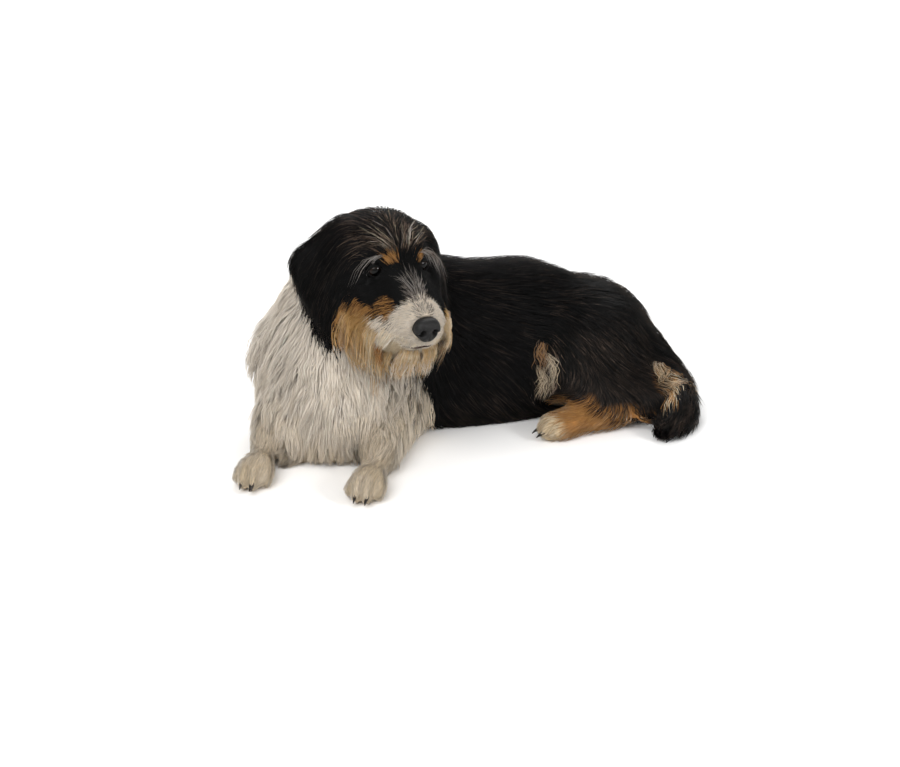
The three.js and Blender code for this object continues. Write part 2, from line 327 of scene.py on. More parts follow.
# Patches on the body: nodes and a place in their boxes, radii in mm, a colour, and the
# share of the locks that take it.
BODY_PATCHES = [
    # Painted sheen: brown-black locks over the thigh.
    (HINDLEGS, (0.55, 0.20, 0.60), (80, 60, 56), DUSKY_BROWN_AND_SHEEN, 0.5),
    (HINDLEGS, (0.12, 0.34, 0.50), (24, 30, 44), BROWN, 0.3),
    (HINDLEGS, (0.10, 0.30, 0.35), (18, 26, 28), GREY, 0.2),
    (HINDLEGS[:1], (0.86, 0.26, 0.30), (11, 26, 24), TAN, 0.8),
    (HINDLEGS[:1], (0.87, 0.26, 0.28), (8, 24, 18), CREAM, 0.6),
    (("tail",), (0.50, 0.25, 0.37), (24, 24, 6), CREAM, 0.7),
    (HINDLEGS[1:], (0.92, 0.30, 0.16), (24, 28, 20), TAN, 0.5),
    (HINDLEGS, (0.45, 0.08, 0.10), (60, 24, 20), TAN, 0.8),
    (HINDPAWS, (0.50, 0.50, 0.40), (66, 44, 34), TAN, 1.0),
    (HINDPAWS, (0.10, 0.50, 0.20), (30, 44, 30), CREAM, 0.9),
]
FRONT_WAY = (-0.788, -0.616)  # the white front faces this way, seen from above
FRONT_EDGE = 0.131  # how far forward the black coat reaches
THROAT_PLACE = np.array([8, 0, -96])  # the golden throat, mm in the head's frame
THROAT_RADII = np.array([52, 60, 24])


def front_depth(points):
    """How far a point lies in the white front: in front of a slanting plane."""
    x, y, z = points.T
    return FRONT_WAY[0] * x + FRONT_WAY[1] * y - FRONT_EDGE - 0.5 * np.maximum(z - 0.2, 0)


def body_tint(points, labels, hairy):
    """Black body with a white front and forelegs, tan hind paws and a cream breech."""
    height = points[:, 2]
    patchy = wobble(points, 38)
    fine = wobble(points, 150, 9.0)
    tint = np.tile(BLACK, (len(points), 1))
    tint = paint(tint, DUSKY_BROWN_AND_SHEEN, 0.15 + 0.2 * patchy + 0.2 * (height < 0.07), hairy)

    depth = front_depth(points) + 0.006 * patchy + 0.006 * fine
    front = smoothstep(-0.007, 0.007, depth)
    tint = paint(tint, WHITE, front, hairy)
    forelimb = belongs(labels, FORELEGS + FOREPAWS)
    reach = smoothstep(-0.045, -0.02, front_depth(points[forelimb]))
    tint[forelimb] = mix(tint[forelimb], WHITE, reach[:, None])
    front[forelimb] = np.maximum(front[forelimb], reach)
    # The white front turns creamier and a little darker towards the floor.
    warm = smoothstep(0.14, 0.0, height) * 0.75 + 0.3 * patchy + 0.2 * fine
    tint = mix(tint, CREAM, (np.clip(warm, 0, 1) * front)[:, None])
    streaky = 0.3 * np.exp(-(((depth - 0.006) / 0.012) ** 2)) * (height < 0.15)
    tint = paint(tint, GREY, streaky, hairy)

    for patch_nodes, shares, radii, colour, strength in BODY_PATCHES:
        for node in patch_nodes:
            gap = (points - in_hind_box(node, shares)) / (np.array(radii) * MM)
            gap = np.linalg.norm(gap, axis=1) + 0.3 * patchy
            share = strength * smoothstep(1.25, 0.75, gap)
            tint = paint(tint, colour, share, hairy)
    throat = (to_head(points) - THROAT_PLACE * MM) / (THROAT_RADII * MM)
    share = 0.85 * smoothstep(1.1, 0.8, np.linalg.norm(throat, axis=1) + 0.1 * patchy)
    return paint(tint, GOLD, share, hairy)


# Patches on the head, in order: place and radii in mm in the head's frame, the side
# (1 left, -1 right, 0 both, with Y measured outwards), a colour, and the share of the
# locks that take it.
HEAD_PATCHES = [
    # Painted sheen: brown-black and brown locks on the top of the crown.
    ((-14, 14, 40), (46, 34, 24), 0, DUSKY_BROWN_AND_SHEEN, 0.4),
    ((-8, 10, 34), (40, 26, 20), 0, BROWN, 0.1),
    ((-20, 44, 24), (26, 22, 18), 0, BROWN, 0.1),
    ((12, 52, -67), (58, 36, 38), -1, TAN, 0.97),
    ((12, 52, -76), (54, 36, 34), 1, TAN, 0.97),
    ((35, 42, -42), (18, 14, 14), -1, TAN, 0.8),
    ((50, 28, -22), (13, 15, 12), -1, TAN, 0.5),
    ((16, 44, -80), (56, 40, 40), 0, GOLD, 0.65),
    ((12, 52, -46), (60, 30, 28), 0, DUSKY_BROWN_AND_SHEEN, 0.16),
    ((44, 44, -66), (28, 24, 34), 0, CREAM, 0.45),
    ((90, 0, -38), (31, 50, 42), 0, WHITE, 0.985),
    ((60, 36, -48), (24, 18, 20), -1, WHITE, 0.75),
    ((68, 30, -66), (17, 17, 14), 0, CREAM, 0.98),
    # Painted shade: scattered cream and grey locks in the white muzzle stand in for shade
    # between its strands.
    ((88, 0, -40), (34, 50, 42), 0, CREAM, 0.12),
    ((88, 0, -40), (34, 50, 42), 0, GREY, 0.08),
    ((56, 0, 0), (34, 9, 14), 0, SILVER, 0.1),
    ((66, 4, -7), (24, 5, 7), 0, GREY, 0.5),
    ((84, 3, -15), (9, 9, 6), 0, GREY, 0.4),
    ((66, 0, -94), (32, 40, 32), 0, CREAM, 0.97),
    ((34, 14, -116), (46, 44, 34), 0, CREAM, 0.6),
    ((62, 46, -52), (24, 20, 32), 1, GOLD, 0.95),
    # Painted shade: darker rust-brown locks in the corner of the mouth.
    ((60, 46, -70), (14, 12, 12), 0, CORNER_SHADE_BROWN, 0.5),
    ((13, 11, 12), (7, 8, 5), -1, TAN, 1.0),
    ((13, 20, 12), (7, 7, 6), 1, TAN, 1.0),
]


def head_tint(points, hairy):
    local = to_head(points)
    folded = np.column_stack([local[:, 0], abs(local[:, 1]), local[:, 2]])
    patchy = wobble(points, 90, 3.0)
    tint = np.tile(BLACK, (len(points), 1))
    for place, radii, side, colour, strength in HEAD_PATCHES:
        gap = (folded - np.array(place) * MM) / (np.array(radii) * MM)
        share = strength * smoothstep(1.12, 0.88, np.linalg.norm(gap, axis=1) + 0.15 * patchy)
        share = share * (side * local[:, 1] >= 0)
        tint = paint(tint, colour, share, hairy)
    return tint


def markings(points, labels, hairy):
    """The colours of the locks that grow at some points, or of the bare skin there."""
    tint = body_tint(points, labels, hairy)
    on_head = belongs(labels, ("head",))
    tint[on_head] = head_tint(points[on_head], hairy)
    on_ears = belongs(labels, EARS)
    # Painted sheen: a share of the ear locks brown-black.
    ears = np.tile(BLACK, (on_ears.sum(), 1))
    tint[on_ears] = paint(ears, DUSKY_BROWN_AND_SHEEN, np.full(len(ears), 0.16), hairy)
    return tint


# ---------------------------------------------------------------- meshes


def new_object(name, mesh):
    made = bpy.data.objects.new(name, mesh)
    bpy.context.scene.collection.objects.link(made)
    return made


def triangle_mesh(name, points, triangles):
    mesh = bpy.data.meshes.new(name)
    mesh.vertices.add(len(points))
    mesh.vertices.foreach_set("co", np.asarray(points, np.float32).ravel())
    mesh.loops.add(triangles.size)
    mesh.loops.foreach_set("vertex_index", triangles.astype(np.int32).ravel())
    mesh.polygons.add(len(triangles))
    mesh.polygons.foreach_set("loop_start", np.arange(0, triangles.size, 3, dtype=np.int32))
    mesh.update()
    mesh.shade_smooth()
    return mesh


def smooth_mesh(name, shape):
    """A smooth-shaded mesh from a bmesh, which is freed."""
    bmesh.ops.recalc_face_normals(shape, faces=shape.faces)
    mesh = bpy.data.meshes.new(name)
    shape.to_mesh(mesh)
    shape.free()
    mesh.shade_smooth()
    return mesh


def turned(way, forward, up):
    """A turn that points one axis of an object along a way."""
    return Vector(way).to_track_quat(forward, up).to_matrix().to_4x4()


def read(items, name, width, kind=np.float32):
    """One value or vector for each of a mesh's items, as rows."""
    values = np.empty(len(items) * width, kind)
    items.foreach_get(name, values)
    return values.reshape(-1, width)


def read_points(mesh):
    return read(mesh.vertices, "co", 3).astype(float)


def write_points(mesh, points):
    mesh.vertices.foreach_set("co", points.astype(np.float32).ravel())
    mesh.update()


def read_normals(mesh):
    return read(mesh.vertex_normals, "vector", 3).astype(float)


def smoothed(values, edges, steps):
    """Moves each vertex's values halfway to the mean of its neighbours'."""
    count = len(values)
    ends = np.concatenate([edges[:, 0], edges[:, 1]])
    others = np.concatenate([edges[:, 1], edges[:, 0]])
    neighbours = np.maximum(np.bincount(ends, minlength=count), 1)[:, None]
    for _ in range(steps):
        sums = [np.bincount(ends, values[others, k], count) for k in range(values.shape[1])]
        values = mix(values, np.column_stack(sums) / neighbours, 0.5)
    return values


def colour_layer(mesh, name, colours):
    layer = mesh.color_attributes.new(name, "FLOAT_COLOR", "POINT")
    full = np.ones((len(colours), 4), np.float32)
    full[:, :3] = colours
    layer.data.foreach_set("color", full.ravel())


# ---------------------------------------------------------------- skin

SKIN_VOXEL = 3.6 * MM
SEAM_GROWTH = 0.6 * MM  # closes the thin gaps between the CAD's parts
SKIN_DEPTH = 0.92  # the share of the coat's depth by which the skin is drawn in


def flesh_mesh():
    """All the flesh nodes in one mesh, each grown a little, and a tree of their faces."""
    points, polygons, owners = [], [], []
    for owner, name in enumerate(FLESH):
        shape = bmesh.new()
        shape.from_mesh(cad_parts[name].data)
        bmesh.ops.remove_doubles(shape, verts=shape.verts, dist=1e-6)
        shape.normal_update()
        start = len(points)
        points += [v.co + v.normal * SEAM_GROWTH for v in shape.verts]
        polygons += [[start + v.index for v in face.verts] for face in shape.faces]
        owners += [owner] * len(shape.faces)
        shape.free()
    mesh = bpy.data.meshes.new("flesh")
    mesh.from_pydata(points, [], polygons)
    return mesh, BVHTree.FromPolygons(points, polygons), np.array(owners)


def largest_piece(mesh):
    """Deletes all but the largest connected piece."""
    shape = bmesh.new()
    shape.from_mesh(mesh)
    left = set(shape.verts)
    best = []
    while left:
        found = [left.pop()]
        for vert in found:
            for edge in vert.link_edges:
                other = edge.other_vert(vert)
                if other in left:
                    left.remove(other)
                    found.append(other)
        best = max(best, found, key=len)
    keep = set(best)
    bmesh.ops.delete(shape, geom=[v for v in shape.verts if v not in keep], context="VERTS")
    shape.to_mesh(mesh)
    shape.free()


PAW_HEADINGS = {
    "forepaw_left": -115,
    "forepaw_right": -115,
    "hindpaw_left": -172,
    "hindpaw_right": 172,
}
TOE_WIDTH = 13 * MM
TOE_RISE = 2.8 * MM


def paw_place(name, points):
    """Distances forward and to the left of a paw's middle."""
    heading = math.radians(PAW_HEADINGS[name])
    away = points - middle(name)
    forward = away[:, 0] * math.cos(heading) + away[:, 1] * math.sin(heading)
    sideways = away[:, 1] * math.cos(heading) - away[:, 0] * math.sin(heading)
    return forward, sideways


def shape_toes(points, normals, labels):
    """Raises four toes on each paw, with grooves between them."""
    for name in PAW_HEADINGS:
        chosen = belongs(labels, (name,))
        forward, sideways = paw_place(name, points[chosen])
        ridge = -np.cos(2 * math.pi * sideways / TOE_WIDTH)
        ridge *= smoothstep(2 * MM, 16 * MM, forward) * (abs(sideways) < 2.2 * TOE_WIDTH)
        points[chosen] += normals[chosen] * (ridge * TOE_RISE)[:, None]
    return points


EYES = (("eye_left", 1), ("eye_right", -1))


def eye_axis(side):
    """An eye's line of sight: forward and a little outward."""
    return unit(head_forward + side * 0.22 * head_left - 0.02 * head_up)


def from_eye(points, node, side):
    """The ways from an eye's centre, the distances, and the angles from its axis."""
    away = points - middle(node)
    gap = np.maximum(np.linalg.norm(away, axis=1), 1e-9)
    angle = np.degrees(np.arccos(np.clip(away @ eye_axis(side) / gap, -1, 1)))
    return away / gap[:, None], gap, angle


def clear_eyes(points):
    """Draws the skin back behind each eyeball's open front, and out round its rim."""
    for node, side in EYES:
        way, gap, angle = from_eye(points, node, side)
        near = gap < 2.2 * EYE_RADIUS
        rim = np.maximum(gap, EYE_RADIUS + 1.5 * MM)
        wanted = mix(0.7 * EYE_RADIUS, rim, smoothstep(42, LID_RIM, angle))
        moved = middle(node) + way * wanted[:, None]
        points = np.where(near[:, None], moved, points)
    return points


class Skin:
    """The skin's mesh with the coat's values at each vertex."""

    def __init__(self):
        flesh, tree, owners = flesh_mesh()
        rough = new_object("rough_skin", flesh)
        remesh = rough.modifiers.new("Remesh", "REMESH")
        remesh.mode = "VOXEL"
        remesh.voxel_size = SKIN_VOXEL
        graph = bpy.context.evaluated_depsgraph_get()
        mesh = bpy.data.meshes.new_from_object(rough.evaluated_get(graph))
        bpy.data.objects.remove(rough)
        largest_piece(mesh)
        edges = read(mesh.edges, "vertices", 2, np.int32)
        outer = smoothed(read_points(mesh), edges, 12)
        write_points(mesh, outer)

        hits = [tree.find_nearest(Vector(p))[2] for p in outer.tolist()]
        self.labels = owners[np.array(hits)]
        values = coat_values(outer, self.labels)
        normals = read_normals(mesh)
        lie = tangent(values[:, :3], normals)
        for _ in range(6):
            lie = tangent(smoothed(lie, edges, 2), normals)
        self.values = smoothed(values[:, 3:], edges, 10)
        depth = self.values[:, :1] * MM * SKIN_DEPTH

        # The underside stays down on the floor, and only the sides draw in.
        grounded = smoothstep(10 * MM, 2 * MM, outer[:, 2:3])
        inward = normals.copy()
        inward[:, 2:3] *= 1 - grounded
        inner = smoothed(outer - inward * depth, edges, 8)
        inner = shape_toes(inner, normals, self.labels)
        inner = clear_eyes(inner)
        inner = mix(inner, smoothed(inner, edges, 1), 0.5)
        inner[:, 2] = np.maximum(inner[:, 2], 1.2 * MM)
        write_points(mesh, inner)

        self.mesh = mesh
        self.points = inner
        self.normals = unit(smoothed(read_normals(mesh), edges, 2))
        self.lie = tangent(lie, self.normals)


# ---------------------------------------------------------------- locks

# For each coat piece: the CAD nodes it grows on, how many locks, their stations and a
# material slot name, which nothing reads.
COATS = {
    "coat_face": (("head",), 25000, 3, "coat_tan"),
    "coat_crown": (("head",), 7800, 4, "coat_black"),
    "coat_ears": (EARS, 5200, 4, "coat_black"),
    "coat_neck": (("neck",), 7800, 4, "coat_white"),
    "coat_breast": (("trunk",), 13000, 4, "coat_white"),
    "coat_left": (("trunk",), 10000, 4, "coat_black"),
    "coat_right": (("trunk",), 6800, 4, "coat_black"),
    "coat_forelegs": (FORELEGS + FOREPAWS, 7800, 4, "coat_white"),
    "coat_hindlegs": (HINDLEGS + HINDPAWS, 7600, 4, "coat_black"),
    "coat_tail": (("tail",), 2900, 4, "coat_black"),
}
LOCK_SLIMNESS = 0.024  # a lock's width as a share of its length
LOCK_WIDTHS = (0.6 * MM, 1.05 * MM)
PATCH = 0.003  # a lock's size on the baking map
SHORT = 24  # mm, the longest hair of the face


def skin_triangles(skin):
    """The skin's triangles: corners, their places on its baking map, and areas."""
    mesh = skin.mesh
    mesh.calc_loop_triangles()
    corners = read(mesh.loop_triangles, "vertices", 3, np.int32)
    loops = read(mesh.loop_triangles, "loops", 3, np.int32)
    uv = read(mesh.uv_layers["OFBake"].data, "uv", 2)
    a, b, c = (skin.points[corners[:, k]] for k in range(3))
    area = np.linalg.norm(np.cross(b - a, c - a), axis=1) / 2
    return corners, uv[loops], area


class Ground:
    """The skin as the coat needs it: a tree of its triangles and what they carry."""

    def __init__(self, skin):
        self.skin = skin
        self.corners, self.uv, self.area = skin_triangles(skin)
        self.tree = BVHTree.FromPolygons(skin.points.tolist(), self.corners.tolist())
        self.middles = skin.points[self.corners].mean(1)
        self.lie = unit(skin.lie[self.corners].mean(1))
        self.normals = unit(skin.normals[self.corners].mean(1))
        self.values = skin.values[self.corners].mean(1)
        self.labels = skin.labels[self.corners[:, 0]]

    def nearest(self, points):
        """Nearest places on the skin, and their triangles."""
        found = [self.tree.find_nearest(p) for p in points.tolist()]
        return np.array([hit[0] for hit in found]), np.array([hit[2] for hit in found])


class Roots:
    """Where locks grow, with the skin's values there."""

    def __init__(self, ground, places, faces):
        self.count = len(places)
        self.points = places
        self.normals = ground.normals[faces]
        self.lie = ground.lie[faces]
        self.values = ground.values[faces]
        self.labels = ground.labels[faces]
        corners = ground.skin.points[ground.corners[faces]]
        pull = 1 / np.maximum(np.linalg.norm(corners - places[:, None], axis=2), 1e-6)
        shares = (pull / pull.sum(1, keepdims=True))[:, :, None]
        self.uv = (ground.uv[faces] * shares).sum(1)
        self.turn_lie()

    def turn_lie(self):
        """Swirls the white hair a little and strays every lock."""
        swirl = 0.1 + 0.5 * smoothstep(-0.01, 0.03, front_depth(self.points))
        angle = swirl * wobble(self.points, 22, 5.0) + rng.normal(0, 0.1, self.count)
        turned = self.lie * np.cos(angle)[:, None]
        turned += np.cross(self.normals, self.lie) * np.sin(angle)[:, None]
        self.lie = tangent(turned, self.normals)


def scatter(ground, count, weights):
    """Random places on the skin's triangles, by weight."""
    edges = np.cumsum(weights / weights.sum())
    picks = (np.arange(count) + rng.random(count)) / count
    faces = np.minimum(np.searchsorted(edges, picks), len(weights) - 1)
    faces = faces[rng.permutation(count)]
    first, second = rng.random((2, count))
    folded = first + second > 1
    first[folded], second[folded] = 1 - first[folded], 1 - second[folded]
    shares = np.column_stack([1 - first - second, first, second])[:, :, None]
    places = (ground.skin.points[ground.corners[faces]] * shares).sum(1)
    return Roots(ground, places, faces)


def may_grow(points):
    """False on the open front of an eye, on the nose and along the lips."""
    free = np.ones(len(points), bool)
    for node, side in EYES:
        _, gap, angle = from_eye(points, node, side)
        free &= (gap > 1.9 * EYE_RADIUS) | (angle > 52)
    nose_gap = (points - middle("nose")) @ head_axes.T
    free &= np.linalg.norm(nose_gap / (NOSE_RADII * MM * 0.97), axis=1) > 1.0
    for start, end in zip(LIP_LINE[:-1], LIP_LINE[1:]):
        local = to_head(points)
        local[:, 1] = abs(local[:, 1])
        a, b = np.array(start) * MM, np.array(end) * MM
        along = np.clip((local - a) @ (b - a) / ((b - a) @ (b - a)), 0, 1)[:, None]
        free &= np.linalg.norm((local - a - along * (b - a)) * [0.3, 1, 1], axis=1) > 1.8 * MM
    return free


def comb(roots, ground, lengths, stations):
    """Walks from each root along the lie of the coat, over the skin."""
    places = np.empty((roots.count, stations, 3))
    normals = np.empty_like(places)
    places[:, 0], normals[:, 0] = roots.points, roots.normals
    heading = roots.lie
    for step in range(1, stations):
        ahead = places[:, step - 1] + heading * (lengths / (stations - 1))[:, None]
        places[:, step], faces = ground.nearest(ahead)
        normals[:, step] = ground.normals[faces]
        heading = tangent(mix(heading, ground.lie[faces], 0.6), ground.normals[faces])
    return places, normals


def clump_owners(roots, spacing):
    """For each lock, the lock at the heart of its clump."""
    centres = np.arange(0, roots.count, spacing)
    finder = KDTree(len(centres))
    for k, centre in enumerate(centres.tolist()):
        finder.insert(Vector(roots.points[centre]), k)
    finder.balance()
    return centres[[finder.find(Vector(p))[1] for p in roots.points.tolist()]]


def lock_paths(roots, ground, stations):
    """Combed locks: low at the root, up to the coat's depth, and drawn into clumps."""
    depth, length, hang, wave = roots.values.T
    length = length * MM * rng.uniform(0.7, 1.2, roots.count)
    places, normals = comb(roots, ground, length, stations)
    share = np.linspace(0, 1, stations)[None, :, None]
    rise = rng.uniform(0.5, 1.12, roots.count)
    height = (depth * MM * rise)[:, None, None] * (1 - (1 - share) ** 2)
    paths = places + normals * height

    # Free hair: straight out from the root, bent down by its weight.
    first = unit(0.8 * roots.lie + 0.45 * roots.normals)
    free = roots.points[:, None] + first[:, None] * share * length[:, None, None]
    free[:, :, 2] -= length[:, None] * 0.35 * share[:, :, 0] ** 2
    loose = (hang * rng.uniform(0.2, 1.0, roots.count))[:, None, None] * share
    paths = mix(paths, free, np.clip(loose, 0, 1))

    # Locks lean to the middle of their clump, and long hair to the middle of its tuft.
    for spacing, pull in ((9, 0.1 + 0.4 * hang), (45, 0.75 * smoothstep(0.2, 0.55, hang))):
        owners = clump_owners(roots, spacing)
        own = (owners == np.arange(roots.count))[:, None, None]
        pull = (pull * rng.uniform(0.6, 1.2, roots.count))[:, None, None] * share**1.4
        paths = mix(paths, paths[owners], np.where(own, 0, np.clip(pull, 0, 0.85)))

    # Waves run across the lock, nearly in step within a tuft.
    phase = rng.uniform(0, 2 * math.pi, roots.count)[owners] + rng.normal(0, 0.6, roots.count)
    swing = np.sin(phase[:, None] + share[:, :, 0] * 6.0) * share[:, :, 0]
    across = np.cross(normals, unit(paths[:, -1] - paths[:, 0])[:, None])
    paths = paths + across * (swing * (wave * MM)[:, None])[:, :, None]
    paths[:, 0] = roots.points - roots.normals * MM
    return paths, normals, np.clip(LOCK_SLIMNESS * length, *LOCK_WIDTHS)


def lock_template(stations):
    """Triangles of one closed lock, and where their corners lie on its baking patch."""
    triangles, corners = [], []
    rings = stations - 2
    tip = 1 + 3 * rings
    step = 1 / (stations - 1)
    for side in range(3):
        left, right = 1 + side, 1 + (side + 1) % 3
        u0, u1 = side / 3, (side + 0.9) / 3
        mid = (u0 + u1) / 2
        triangles.append((0, right, left))
        corners += [(mid, 0), (u1, step), (u0, step)]
        for ring in range(rings - 1):
            a, b = left + 3 * ring, right + 3 * ring
            v0, v1 = (ring + 1) * step, (ring + 2) * step
            triangles += [(a, b, b + 3), (a, b + 3, a + 3)]
            corners += [(u0, v0), (u1, v0), (u1, v1), (u0, v0), (u1, v1), (u0, v1)]
        triangles.append((left + tip - 4, right + tip - 4, tip))
        corners += [(u0, 1 - step), (u1, 1 - step), (mid, 1)]
    return np.array(triangles), np.array(corners)


def tuft_mesh(name, paths, normals, widths, colours, uv):
    """Closed, pointed locks with a ridged back along the given paths."""
    count, stations = paths.shape[:2]
    along = unit(np.gradient(paths, axis=1))
    up = tangent(normals, along)
    side = np.cross(along, up)
    share = np.linspace(0, 1, stations)[1:-1]
    thick = np.sqrt(4 * share * (1 - share))
    half = (widths[:, None] * thick[None] / 2)[:, :, None]
    body, rise, over = paths[:, 1:-1], up[:, 1:-1], side[:, 1:-1]
    rings = np.stack([body - over * half, body + rise * half * 0.8, body + over * half], axis=2)
    shades = np.stack([rise - 0.2 * over, rise, rise + 0.2 * over], axis=2)
    flat = (count, -1, 3)
    points = np.concatenate([paths[:, :1], rings.reshape(flat), paths[:, -1:]], axis=1)
    points[:, :, 2] = np.maximum(points[:, :, 2], 0.4 * MM)
    shading = np.concatenate([up[:, :1], shades.reshape(flat), up[:, -1:]], axis=1)

    template, corners = lock_template(stations)
    each = points.shape[1]
    triangles = template[None] + each * np.arange(count)[:, None, None]
    mesh = triangle_mesh(name, points.reshape(-1, 3), triangles.reshape(-1, 3))
    baking = mesh.uv_layers.new(name="OFBake")
    spots = uv[:, None] + PATCH * (corners[None] - 0.5)
    baking.data.foreach_set("uv", spots.astype(np.float32).ravel())
    strand = mesh.uv_layers.new(name="Strand")
    runs = corners[None] + rng.uniform(0, 20, (count, 1, 2))
    strand.data.foreach_set("uv", runs.astype(np.float32).ravel())

    pale = smoothstep(0.05, 0.4, colours.mean(1, keepdims=True))
    shade = np.exp(rng.normal(0, 1, (count, 1)) * mix(0.25, 0.06, pale))
    # Painted shade: each lock is darker toward its root, where it lies deep in the coat, and a
    # little brighter at its tip.
    root_shade = mix(0.85, 1.05, np.append(np.append(0, np.repeat(share, 3)), 1.0))
    full = colours[:, None] * shade[:, None] * root_shade[None, :, None]
    colour_layer(mesh, "Tint", np.clip(full, 0, 0.9).reshape(-1, 3))
    mesh.normals_split_custom_set_from_vertices(unit(shading).reshape(-1, 3).tolist())
    return mesh


# ---------------------------------------------------------------- materials


def new_material(name, roughness, specular):
    material = bpy.data.materials.new(name)
    material.use_nodes = True
    shader = material.node_tree.nodes["Principled BSDF"]
    shader.inputs["Roughness"].default_value = roughness
    shader.inputs["Specular IOR Level"].default_value = specular
    return material, material.node_tree.nodes, material.node_tree.links, shader


def noise_node(nodes, links, vector, scale, detail=3.0):
    texture = nodes.new("ShaderNodeTexNoise")
    texture.inputs["Scale"].default_value = scale
    texture.inputs["Detail"].default_value = detail
    links.new(vector, texture.inputs["Vector"])
    return texture


def spread(nodes, links, value, low, high):
    """Maps a 0 to 1 value to the range from low to high."""
    ranged = nodes.new("ShaderNodeMapRange")
    ranged.inputs["To Min"].default_value = low
    ranged.inputs["To Max"].default_value = high
    links.new(value, ranged.inputs["Value"])
    return ranged.outputs["Result"]


def add_bump(nodes, links, shader, height, strength, distance):
    bump = nodes.new("ShaderNodeBump")
    bump.inputs["Strength"].default_value = strength
    bump.inputs["Distance"].default_value = distance
    links.new(height, bump.inputs["Height"])
    links.new(bump.outputs["Normal"], shader.inputs["Normal"])


def own_colour(nodes):
    """The colour that the mesh itself carries."""
    tint = nodes.new("ShaderNodeAttribute")
    tint.attribute_name = "Tint"
    return tint.outputs["Color"]


def add_pattern(nodes, links, shader, colour, pattern, shades, roughness):
    """Varies a colour's brightness and the roughness with a pattern, each in its range."""
    tone = nodes.new("ShaderNodeMix")
    tone.data_type = "RGBA"
    tone.blend_type = "MULTIPLY"
    tone.inputs["Factor"].default_value = 1.0
    links.new(colour, tone.inputs["A"])
    links.new(spread(nodes, links, pattern, *shades), tone.inputs["B"])
    links.new(tone.outputs["Result"], shader.inputs["Base Color"])
    links.new(spread(nodes, links, pattern, *roughness), shader.inputs["Roughness"])


def hair_material():
    """Hair: the lock's own colour, streaked along its length."""
    material, nodes, links, shader = new_material("hair", 0.5, 0.06)
    shader.inputs["Subsurface Weight"].default_value = 0.5
    shader.inputs["Subsurface Radius"].default_value = (1.0, 0.9, 0.8)
    shader.inputs["Subsurface Scale"].default_value = 8 * MM
    strand = nodes.new("ShaderNodeUVMap")
    strand.uv_map = "Strand"
    stretch = nodes.new("ShaderNodeMapping")
    stretch.inputs["Scale"].default_value = (9.0, 1.2, 1.0)
    links.new(strand.outputs["UV"], stretch.inputs["Vector"])
    streak = noise_node(nodes, links, stretch.outputs["Vector"], 1.6, 2.0).outputs["Fac"]
    add_pattern(nodes, links, shader, own_colour(nodes), streak, (0.8, 1.2), (0.42, 0.68))
    add_bump(nodes, links, shader, streak, 0.5, 0.3 * MM)
    return material


def skin_material():
    """The skin under the coat: its own colour, finely mottled."""
    material, nodes, links, shader = new_material("skin", 0.8, 0.2)
    place = nodes.new("ShaderNodeTexCoord")
    fine = noise_node(nodes, links, place.outputs["Object"], 420, 4.0).outputs["Fac"]
    add_pattern(nodes, links, shader, own_colour(nodes), fine, (0.7, 1.1), (0.65, 0.9))
    add_bump(nodes, links, shader, fine, 0.6, 0.8 * MM)
    return material


# Colours of the eyeball, by the share of its radius that a place lies forward.
EYE_RINGS = [
    (0.0, srgb(20, 16, 14)),  # the white, which is dark here
    (0.60, srgb(16, 13, 12)),
    (0.66, srgb(8, 6, 5)),  # the iris's dark edge
    (0.78, srgb(24, 14, 8)),
    (0.90, srgb(16, 10, 6)),
    (0.93, srgb(3, 2, 2)),  # the pupil
    (1.0, srgb(2, 2, 2)),
]


def eye_material():
    """Dark brown iris round a black pupil, by the angle from the eye's own X axis."""
    material, nodes, links, shader = new_material("eyeball", 0.05, 0.18)
    place = nodes.new("ShaderNodeTexCoord")
    split = nodes.new("ShaderNodeSeparateXYZ")
    links.new(place.outputs["Object"], split.inputs["Vector"])
    facing = nodes.new("ShaderNodeMath")
    facing.operation = "DIVIDE"
    facing.inputs[1].default_value = EYE_RADIUS
    links.new(split.outputs["X"], facing.inputs[0])
    ramp = nodes.new("ShaderNodeValToRGB")
    elements = ramp.color_ramp.elements
    while len(elements) < len(EYE_RINGS):
        elements.new(0.5)
    for element, (position, colour) in zip(elements, EYE_RINGS):
        element.position = position
        element.color = (*colour, 1)
    links.new(facing.outputs["Value"], ramp.inputs["Fac"])
    fibres = noise_node(nodes, links, place.outputs["Object"], 900).outputs["Fac"]
    add_pattern(nodes, links, shader, ramp.outputs["Color"], fibres, (0.6, 1.4), (0.04, 0.08))
    return material


def leather_material(name, colour, roughness, cells, depth, specular=0.35):
    """Pebbled dark skin of the nose, lids and lips, and the claws."""
    material, nodes, links, shader = new_material(name, roughness, specular)
    place = nodes.new("ShaderNodeTexCoord")
    pebbles = nodes.new("ShaderNodeTexVoronoi")
    pebbles.inputs["Scale"].default_value = cells
    links.new(place.outputs["Object"], pebbles.inputs["Vector"])
    mottle = noise_node(nodes, links, place.outputs["Object"], cells / 3)
    ramp = nodes.new("ShaderNodeValToRGB")
    ramp.color_ramp.elements[0].color = (*(colour * 0.6), 1)
    ramp.color_ramp.elements[1].color = (*(colour * 1.8), 1)
    links.new(mottle.outputs["Fac"], ramp.inputs["Fac"])
    links.new(ramp.outputs["Color"], shader.inputs["Base Color"])
    links.new(
        spread(nodes, links, mottle.outputs["Fac"], roughness * 0.7, roughness * 1.3),
        shader.inputs["Roughness"],
    )
    add_bump(nodes, links, shader, pebbles.outputs["Distance"], 0.6, depth)
    return material


# ---------------------------------------------------------------- pieces


def finish_piece(piece, material, replaced=()):
    piece.data.materials.clear()
    piece.data.materials.append(material)
    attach(piece, "root")
    if replaced:
        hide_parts(*replaced)
    return piece


